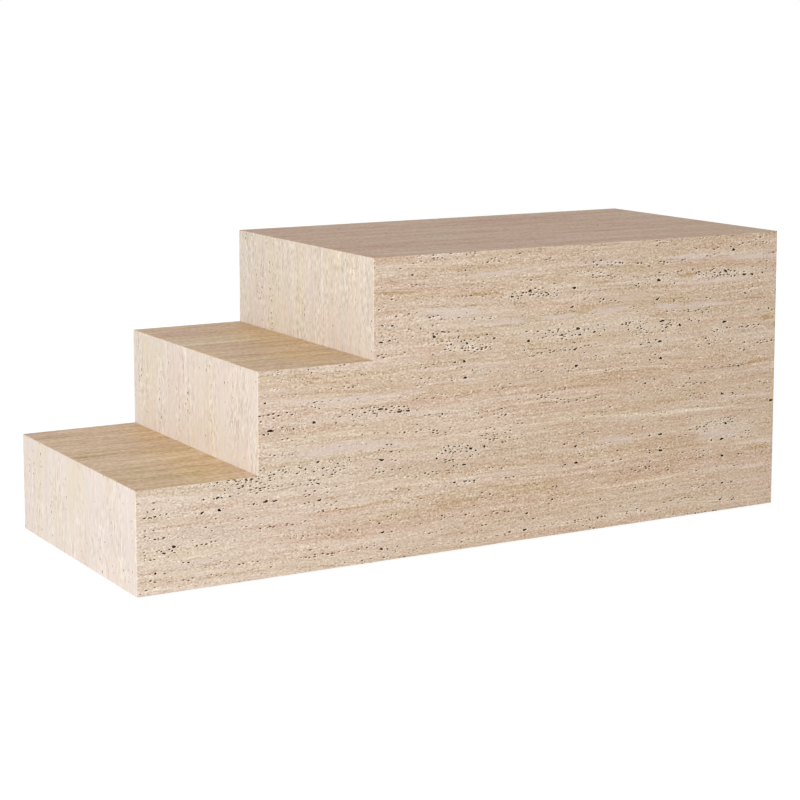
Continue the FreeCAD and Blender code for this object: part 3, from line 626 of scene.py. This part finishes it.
def carvePits(node, pits, along, across, out):
    low, high = (np.array(corner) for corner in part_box(node))
    face = (high @ out) if out.sum() > 0 else (low @ out)
    low, high = ((corner @ along, corner @ across) for corner in (low, high))
    u, v, halfLength, halfTall, rng = pitSpots(pits, low, high)
    big = halfLength > pitCut["bigFrom"]
    parts = [pitSurfaces(u[some], v[some], halfLength[some], halfTall[some], columns, rng)
             for some, columns in zip((big, ~big), pitCut["columns"])]
    shift = len(parts[0][0])
    local = np.concatenate([part[0] for part in parts]) * mm
    fans = np.concatenate([parts[0][1], parts[1][1] + shift])
    bands = np.concatenate([parts[0][2], parts[1][2] + shift])
    points = local[:, :1] * along + local[:, 1:2] * across + (face + local[:, 2:]) * out
    if np.dot(np.cross(along, across), out) < 0:
        fans, bands = fans[:, ::-1], bands[:, ::-1]
    cutter = newObject(node + "_cutter", solidMesh(node + "_cutter", points, fans, bands))
    blank = bpy.data.meshes.new(node + "_blank")
    shape = bmesh.new()
    shape.from_mesh(nodes[node].data)
    bmesh.ops.remove_doubles(shape, verts=shape.verts, dist=pitCut["weld"] * mm)
    flatTo = math.radians(pitCut["flatTo"])
    bmesh.ops.dissolve_limit(shape, angle_limit=flatTo, verts=shape.verts, edges=shape.edges)
    shape.to_mesh(blank)
    shape.free()
    if "custom_normal" in blank.attributes:  # the imported normals don't fit the carved faces
        blank.attributes.remove(blank.attributes["custom_normal"])
    slab = newObject(node + "_blank", blank)
    for mesh in (blank, cutter.data):
        mesh.materials.append(pits["stone"])
        mesh.materials.append(None)
    cutter.data.polygons.foreach_set("material_index", np.ones(len(cutter.data.polygons), np.int32))
    carving = slab.modifiers.new("pits", "BOOLEAN")
    carving.operation = "DIFFERENCE"
    carving.solver = "EXACT"
    carving.object = cutter
    carving.use_self = True
    carved = bpy.data.meshes.new_from_object(slab.evaluated_get(bpy.context.evaluated_depsgraph_get()))
    carved.name = node.replace("_slab", "_stone")
    bpy.data.objects.remove(slab)
    bpy.data.objects.remove(cutter)
    return carved, readAll(carved.polygons, "material_index").astype(bool), face


# A slab's map: the show face fills the lower part up to a share of the height, the back lies
# above it, smaller, and the edges are a band at the top
slabMap = {"margin": 0.01, "widest": 0.98, "show": 0.66, "back": 0.9, "gap": 0.02, "edges": 0.97,
           "band": 0.02, "edgeOn": 0.3}


def dressSlab(node, pits):
    along, across, out = (np.array(pits[key], float) for key in ("along", "across", "out"))
    carved, inPit, face = carvePits(node, pits, along, across, out)
    points = readAll(carved.vertices, "co", float, 3).reshape(-1, 3)
    points = points[readAll(carved.loops, "vertex_index")]
    sides = readAll(carved.polygons, "loop_total")
    facing = readAll(carved.polygons, "normal", float, 3).reshape(-1, 3) @ out
    pitCorner = np.repeat(inPit, sides)
    below = face - points @ out
    sunk = np.where(pitCorner, np.clip(below / (honed["fullDepth"] * mm), 0, 1), 0)
    depth = carved.attributes.new("pitDepth", "FLOAT", "CORNER")
    depth.data.foreach_set("value", sunk.astype(np.float32))
    flat = np.stack([points @ along, points @ across], 1)
    flat -= flat.min(0)
    if flat[:, 1].max() > flat[:, 0].max():
        flat = flat[:, ::-1].copy()
    share = flat[:, 1].max() / flat[:, 0].max()
    margin = slabMap["margin"]
    showSize = min(slabMap["widest"], slabMap["show"] / share)
    backSize = min(showSize, slabMap["back"] / share - showSize)
    backFoot = margin + slabMap["gap"] + showSize * share
    shown = np.repeat((facing > slabMap["edgeOn"]) | inPit, sides)
    edgeOn = np.repeat(np.abs(facing) < slabMap["edgeOn"], sides) & ~pitCorner
    unit = flat / flat[:, 0].max()
    uv = np.where(shown[:, None], margin + unit * showSize, unit * backSize + [margin, backFoot])
    uv[edgeOn, 1] = slabMap["edges"] + slabMap["band"] * below[edgeOn] / max(below.max(), mm)
    layer = carved.uv_layers.new(name="OFBake")
    layer.data.foreach_set("uv", uv.astype(np.float32).ravel())
    carved.materials.clear()
    carved.materials.append(pits["stone"])
    carved.polygons.foreach_set("material_index", np.zeros(len(inPit), np.int32))
    carved.set_sharp_from_angle(angle=math.radians(pitCut["sharpFrom"]))
    carved.polygons.foreach_set("use_smooth", inPit)  # after the edges, whose step makes every face smooth
    carved.update()
    piece = newObject(node.replace("_slab", "_stone"), carved)
    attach(piece, "plinth")
    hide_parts(node)
    print("carved", node, "with", int(inPit.sum()), "pit faces")


for node, pits in slabPits.items():
    dressSlab(node, pits)

# Birch plywood, rotary cut and sanded: straw faces with long wavy growth lines, and edges striped
# by its plies, every other one end grain and darker. Sizes are along, across and through.
plywood = {
    "face": "#dcc29c", "growth": "#c7a678", "sapwood": "#ead7b6", "endGrain": "#a97f50", "glue": "#7c5a38",
    "ply": 1.39, "figure": (420, 26, 300), "growthLines": 46, "pores": (60, 1.2, 50), "gritPerMetre": 900,
    "growthIn": (0.50, 0.68, 0.5), "poresIn": (0.56, 0.72, 0.55), "gritIn": (0.35, 0.65, 0.4),
    "plyEdge": 0.25, "glueFrom": 0.16, "glueShare": 0.6, "bump": 0.2,
    "boards": {  # which axis goes through the board, along the grain, and across it
        "XZY": ["lower_riser_board", "middle_riser_board", "upper_riser_board", "end_board",
                "near_cross_rib", "far_cross_rib"],
        "YXZ": ["front_side_board", "rear_side_board"],
        "ZXY": ["lower_deck", "middle_deck", "upper_deck", "base_board"],
    },
}


def birchPlywood(axes):
    material, shader, add = newMaterial("sandedBirchPlywood" + axes, plywood["face"], Roughness=0.62, IOR=1.5)
    face, growth, sapwood, endGrain, glue = (linear(plywood[tone]) for tone in (
        "face", "growth", "sapwood", "endGrain", "glue"))
    spot = add("TexCoord")
    split = add("SeparateXYZ", {0: spot.outputs["Object"]})
    through, along, across = [split.outputs[axis] for axis in axes]
    bed = add("CombineXYZ", {0: along, 1: across, 2: through})
    coarse = add("VectorMath", {0: bed, 1: [1000 / s for s in plywood["figure"]]}, "MULTIPLY")
    figure = add("TexNoise", {"Vector": coarse, "Scale": 1, "Detail": 4, "Distortion": 0.6})
    thin = add("VectorMath", {0: bed, 1: [1000 / s for s in plywood["pores"]]}, "MULTIPLY")
    pores = add("TexNoise", {"Vector": thin, "Scale": 1, "Detail": 2})
    rings = add("Math", {0: figure, 1: plywood["growthLines"]}, "MULTIPLY")
    rings = add("Math", {0: rings}, "SINE")
    rings = add("Math", {0: rings, 1: 0.5, 2: 0.5}, "MULTIPLY_ADD")
    colour = add("Mix", {0: rings, 6: face, 7: sapwood}, data_type="RGBA")
    for noise, (low, high, share) in ((figure, plywood["growthIn"]), (pores, plywood["poresIn"])):
        laid = add("MapRange", {"Value": noise, "From Min": low, "From Max": high, "To Max": share})
        colour = add("Mix", {0: laid, 6: colour, 7: growth}, data_type="RGBA")
    turn = add("Math", {0: through, 1: math.pi / (plywood["ply"] * mm)}, "MULTIPLY")
    stripe = add("Math", {0: turn}, "SINE")
    end = add("MapRange", {"Value": stripe, "From Min": -plywood["plyEdge"], "From Max": plywood["plyEdge"]})
    grit = add("TexNoise", {"Vector": spot.outputs["Object"], "Scale": plywood["gritPerMetre"], "Detail": 1})
    low, high, least = plywood["gritIn"]
    darkened = add("MapRange", {"Value": grit, "From Min": low, "From Max": high, "To Min": least})
    endShare = add("Math", {0: end, 1: darkened}, "MULTIPLY")
    edge = add("Mix", {0: endShare, 6: face, 7: endGrain}, data_type="RGBA")
    fromGlue = add("Math", {0: stripe}, "ABSOLUTE")
    glued = add("Math", {0: fromGlue, 1: plywood["glueFrom"]}, "LESS_THAN")
    gluedShare = add("Math", {0: glued, 1: plywood["glueShare"]}, "MULTIPLY")
    edge = add("Mix", {0: gluedShare, 6: edge, 7: glue}, data_type="RGBA")
    colour = add("Mix", {0: faceOn(add, spot, axes[0]), 6: edge, 7: colour}, data_type="RGBA")
    bump = add("Bump", {"Height": pores, "Strength": 0.3, "Distance": plywood["bump"] * mm})
    plug(shader, {"Base Color": colour, "Normal": bump})
    return material


# Planed spruce: yellow white, with brown latewood lines 3 to 5 mm apart along each batten
timber = {
    "early": "#e6cfa3", "late": "#c69a62", "ring": 4.2, "lean": 0.35, "drift": (500, 50, 50), "driftBy": 30,
    "fibre": (50, 1.2, 1.2), "lateIn": (0.35, 0.95, 0.8), "fibreGain": 1.5, "bump": 0.2,
    "alongX": ["front_runner", "rear_runner"], "alongY": ["lower_deck_cleat", "middle_deck_cleat"],
}


def planedSpruce(name, axes):
    material, shader, add = newMaterial(name, timber["early"], Roughness=0.58, IOR=1.5)
    split = add("SeparateXYZ", {0: add("TexCoord").outputs["Object"]})
    along, across, through = [split.outputs[axis] for axis in axes]
    bed = add("CombineXYZ", {0: along, 1: across, 2: through})
    slow = add("VectorMath", {0: bed, 1: [1000 / s for s in timber["drift"]]}, "MULTIPLY")
    drift = add("TexNoise", {"Vector": slow, "Scale": 1, "Detail": 2})
    place = add("Math", {0: drift, 1: timber["driftBy"] * mm, 2: across}, "MULTIPLY_ADD")
    place = add("Math", {0: through, 1: timber["lean"], 2: place}, "MULTIPLY_ADD")
    turn = add("Math", {0: place, 1: 1 / (timber["ring"] * mm)}, "MULTIPLY")
    step = add("Math", {0: turn}, "FRACT")
    low, high, most = timber["lateIn"]
    ring = add("MapRange", {"Value": step, "From Min": low, "From Max": high, "To Max": most})
    thin = add("VectorMath", {0: bed, 1: [1000 / s for s in timber["fibre"]]}, "MULTIPLY")
    fibre = add("TexNoise", {"Vector": thin, "Scale": 1, "Detail": 2})
    share = add("Math", {0: ring, 1: fibre}, "MULTIPLY")
    share = add("Math", {0: share, 1: timber["fibreGain"]}, "MULTIPLY")
    colour = add("Mix", {0: share, 6: linear(timber["early"]), 7: linear(timber["late"])}, data_type="RGBA")
    bump = add("Bump", {"Height": fibre, "Strength": 0.25, "Distance": timber["bump"] * mm})
    plug(shader, {"Base Color": colour, "Normal": bump})
    return material


# Small parts. Each is speckled by a noise of the given grain in mm between two tones, with the
# roughness going from one to the other and the bump lifting the speckles.
speckleSpan = (0.35, 0.65)
smallParts = {
    # EPDM rubber, moulded and dusty: dull black with a bloom
    "mouldedRubber": {"tones": ("#232322", "#34332f"), "grain": 1.6, "rough": (0.72, 0.92), "bump": 0.12,
                      "parts": ["front_floor_strip", "rear_floor_strip"]},
    # Hybrid polymer adhesive, cured in the open: off-white, satin, with a puckered skin
    "curedAdhesive": {"tones": ("#d8d2c4", "#e6e1d6"), "grain": 9, "rough": (0.34, 0.5), "bump": 0.5,
                      "parts": ["front_adhesive_beads", "rear_adhesive_beads", "tread_adhesive_beads",
                                "riser_adhesive_beads"]},
    # Glass-filled nylon, moulded in a spark-eroded tool: charcoal with a fine even grain
    "mouldedNylon": {"tones": ("#262728", "#3a3b3c"), "grain": 0.9, "rough": (0.42, 0.6), "bump": 0.08},
    # Steel with bright zinc plating: bluish grey metal, cloudy where the plating is thicker
    "zincPlatedSteel": {"tones": ("#b9bec4", "#d2cfc4"), "grain": 5, "rough": (0.24, 0.42), "bump": 0.03,
                        "metallic": 1.0, "parts": ["tee_nuts"]},
}


def speckled(name):
    finish = smallParts[name]
    material, shader, add = newMaterial(name, finish["tones"][0], Metallic=finish.get("metallic", 0.0))
    spot = add("TexCoord").outputs["Object"]
    noise = add("TexNoise", {"Vector": spot, "Scale": 1000 / finish["grain"], "Detail": 3})
    low, high = speckleSpan
    share = add("MapRange", {"Value": noise, "From Min": low, "From Max": high})
    first, second = (linear(tone) for tone in finish["tones"])
    colour = add("Mix", {0: share, 6: first, 7: second}, data_type="RGBA")
    low, high = finish["rough"]
    rough = add("MapRange", {"Value": share, "To Min": low, "To Max": high})
    bump = add("Bump", {"Height": noise, "Strength": 0.6, "Distance": finish["bump"] * mm})
    plug(shader, {"Base Color": colour, "Roughness": rough, "Normal": bump})
    return material


def finishParts(names, material):
    for name in names:
        nodes[name].data.materials.clear()
        nodes[name].data.materials.append(material)


for axes, boards in plywood["boards"].items():
    finishParts(boards, birchPlywood(axes))
finishParts(timber["alongX"], planedSpruce("planedSpruceRunners", "XYZ"))
finishParts(timber["alongY"], planedSpruce("planedSpruceCleats", "YZX"))
finishes = {name: speckled(name) for name in smallParts}
for name, finish in smallParts.items():
    finishParts(finish.get("parts", []), finishes[name])
print("carcase finished")

# Levelling feet, as in the CAD model but with a cut thread, a chamfered hexagon, and a pad and a
# sole with rounded rims, the pad's fluted. Heights are from the floor, radii from the foot's axis;
# the stem's end has depths below its top. The thread stops short of that by its run-out, and
# crest and flank give its wave flat tops and a slope.
foot = {
    "places": {"low_end_front": (-599, -174), "tall_end_front": (599, -174),
               "low_end_rear": (-599, 174), "tall_end_rear": (599, 174)},
    "columns": 48, "hexFlats": 17.0, "hexSpan": (15.2, 22.2), "hexChamfer": 0.8, "hexBlunt": 0.05,
    "pitch": 1.5, "threadDepth": 0.9, "threadRadius": 5.0, "threadSpan": (22.2, 64.2), "runOut": 0.8,
    "crest": 1.15, "flank": 1.3, "stepsPerTurn": 6, "sharpFrom": 32,
    "tip": [(4.53, 4.9), (4.93, 5.5), (7.1, 5.5), (7.5, 5.1), (7.5, 4.0), (15.2, 4.0)],
    "end": [(0.7, 4.1), (0, 3.5)],
    "pad": [(3.0, 20.9), (3.3, 21.6), (4.0, 22.0), (9.2, 22.0), (10.4, 21.5), (11.0, 20.4), (11.2, 18.5),
            (11.2, 12.2), (11.5, 11.4), (12.0, 10.9), (12.0, 4.08), (7.58, 4.08), (7.58, 5.58), (4.5, 5.58)],
    "padFlutes": 24, "fluteDepth": 0.45, "flutesFrom": 20.6,
    "sole": [(1.0, 18.9), (1.15, 19.6), (1.6, 20.0), (2.6, 20.0), (3.0, 19.7)],
}


def turnedPiece(name, node, place, heights, radii, material, slot, body):
    # A closed surface round the foot's axis, its radius given by row and angle
    rows, columns = radii.shape
    angle = np.linspace(0, 2 * np.pi, columns, endpoint=False)
    grid = np.stack([place[0] + radii * np.cos(angle), place[1] + radii * np.sin(angle),
                     heights[:, None] + 0 * radii], axis=2)
    ends = [[*place, heights[0]], [*place, heights[-1]]]
    fans, bands = ringFaces(rows, columns)
    mesh = solidMesh(name, np.concatenate([ends, grid.reshape(-1, 3)]) * mm, fans, bands)
    mesh.materials.append(material)
    mesh.polygons.foreach_set("use_smooth", np.ones(len(mesh.polygons), bool))
    mesh.set_sharp_from_angle(angle=math.radians(foot["sharpFrom"]))
    piece = newObject(name, mesh)
    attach(piece, body)
    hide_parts(node)


def stemShape():
    # Radius by row and angle. Tip and neck are round. The hexagon is half its flats over the cosine
    # of the angle to the nearest flat, kept inside the chamfer's circle. Up the thread the radius
    # falls along a triangle wave of height / pitch - angle / turn, and fades in and out at the ends.
    angle = np.linspace(0, 2 * np.pi, foot["columns"], endpoint=False)
    turning = np.array(foot["tip"])
    low, high = foot["hexSpan"]
    toFlat = (angle + np.pi / 6) % (np.pi / 3) - np.pi / 6
    hexagon = foot["hexFlats"] / 2 / np.cos(toFlat)
    blunted = np.minimum(hexagon, foot["hexFlats"] / 2 + foot["hexBlunt"])
    hexHeights = np.array([low, low + foot["hexChamfer"], high - foot["hexChamfer"], high])
    hexRadii = np.stack([blunted, hexagon, hexagon, blunted])
    low, high = foot["threadSpan"]
    top = high - foot["runOut"]
    threadHeights = np.arange(low, top, foot["pitch"] / foot["stepsPerTurn"])
    phase = (threadHeights[:, None] / foot["pitch"] - angle / (2 * np.pi)) % 1
    fade = np.clip(np.minimum(threadHeights - low, top - threadHeights) / foot["pitch"], 0, 1)[:, None]
    crest = np.clip(foot["crest"] - 2 * abs(phase - 0.5) * foot["flank"], 0, 1)
    threadRadii = foot["threadRadius"] - foot["threadDepth"] * (1 - fade * crest)
    end = np.array(foot["end"])
    heights = np.concatenate([turning[:, 0], hexHeights, threadHeights, high - end[:, 0]])
    radii = np.concatenate([turning[:, 1:] + 0 * angle, hexRadii, threadRadii, end[:, 1:] + 0 * angle])
    return heights, radii


def padShape():
    # The moulded profile turned round the axis. Where it is widest the radius dips in flutes.
    angle = np.linspace(0, 2 * np.pi, foot["columns"] * 2, endpoint=False)
    profile = np.array(foot["pad"])
    rim = np.clip(profile[:, 1:] - foot["flutesFrom"], 0, 1)
    dip = foot["fluteDepth"] * np.clip(np.cos(foot["padFlutes"] * angle), 0, 1)
    return profile[:, 0], profile[:, 1:] - rim * dip


sole = np.array(foot["sole"])
soleShape = (sole[:, 0], sole[:, 1:] + np.zeros(foot["columns"]))
footPieces = {  # the node that it replaces, its shape, finish, slot and body
    "_threaded_stem": ("_foot_stem", stemShape(), "zincPlatedSteel", "zinc_steel", "_stem"),
    "_fluted_pad": ("_foot_pad", padShape(), "mouldedNylon", "nylon", "_pad"),
    "_rounded_sole": ("_foot_sole", soleShape, "mouldedRubber", "rubber", "_pad"),
}
for placeName, place in foot["places"].items():
    for pieceName, (node, shape, finish, slot, body) in footPieces.items():
        turnedPiece(placeName + pieceName, placeName + node, place, *shape, finishes[finish], slot,
                    placeName + body)
print("levelling feet turned")
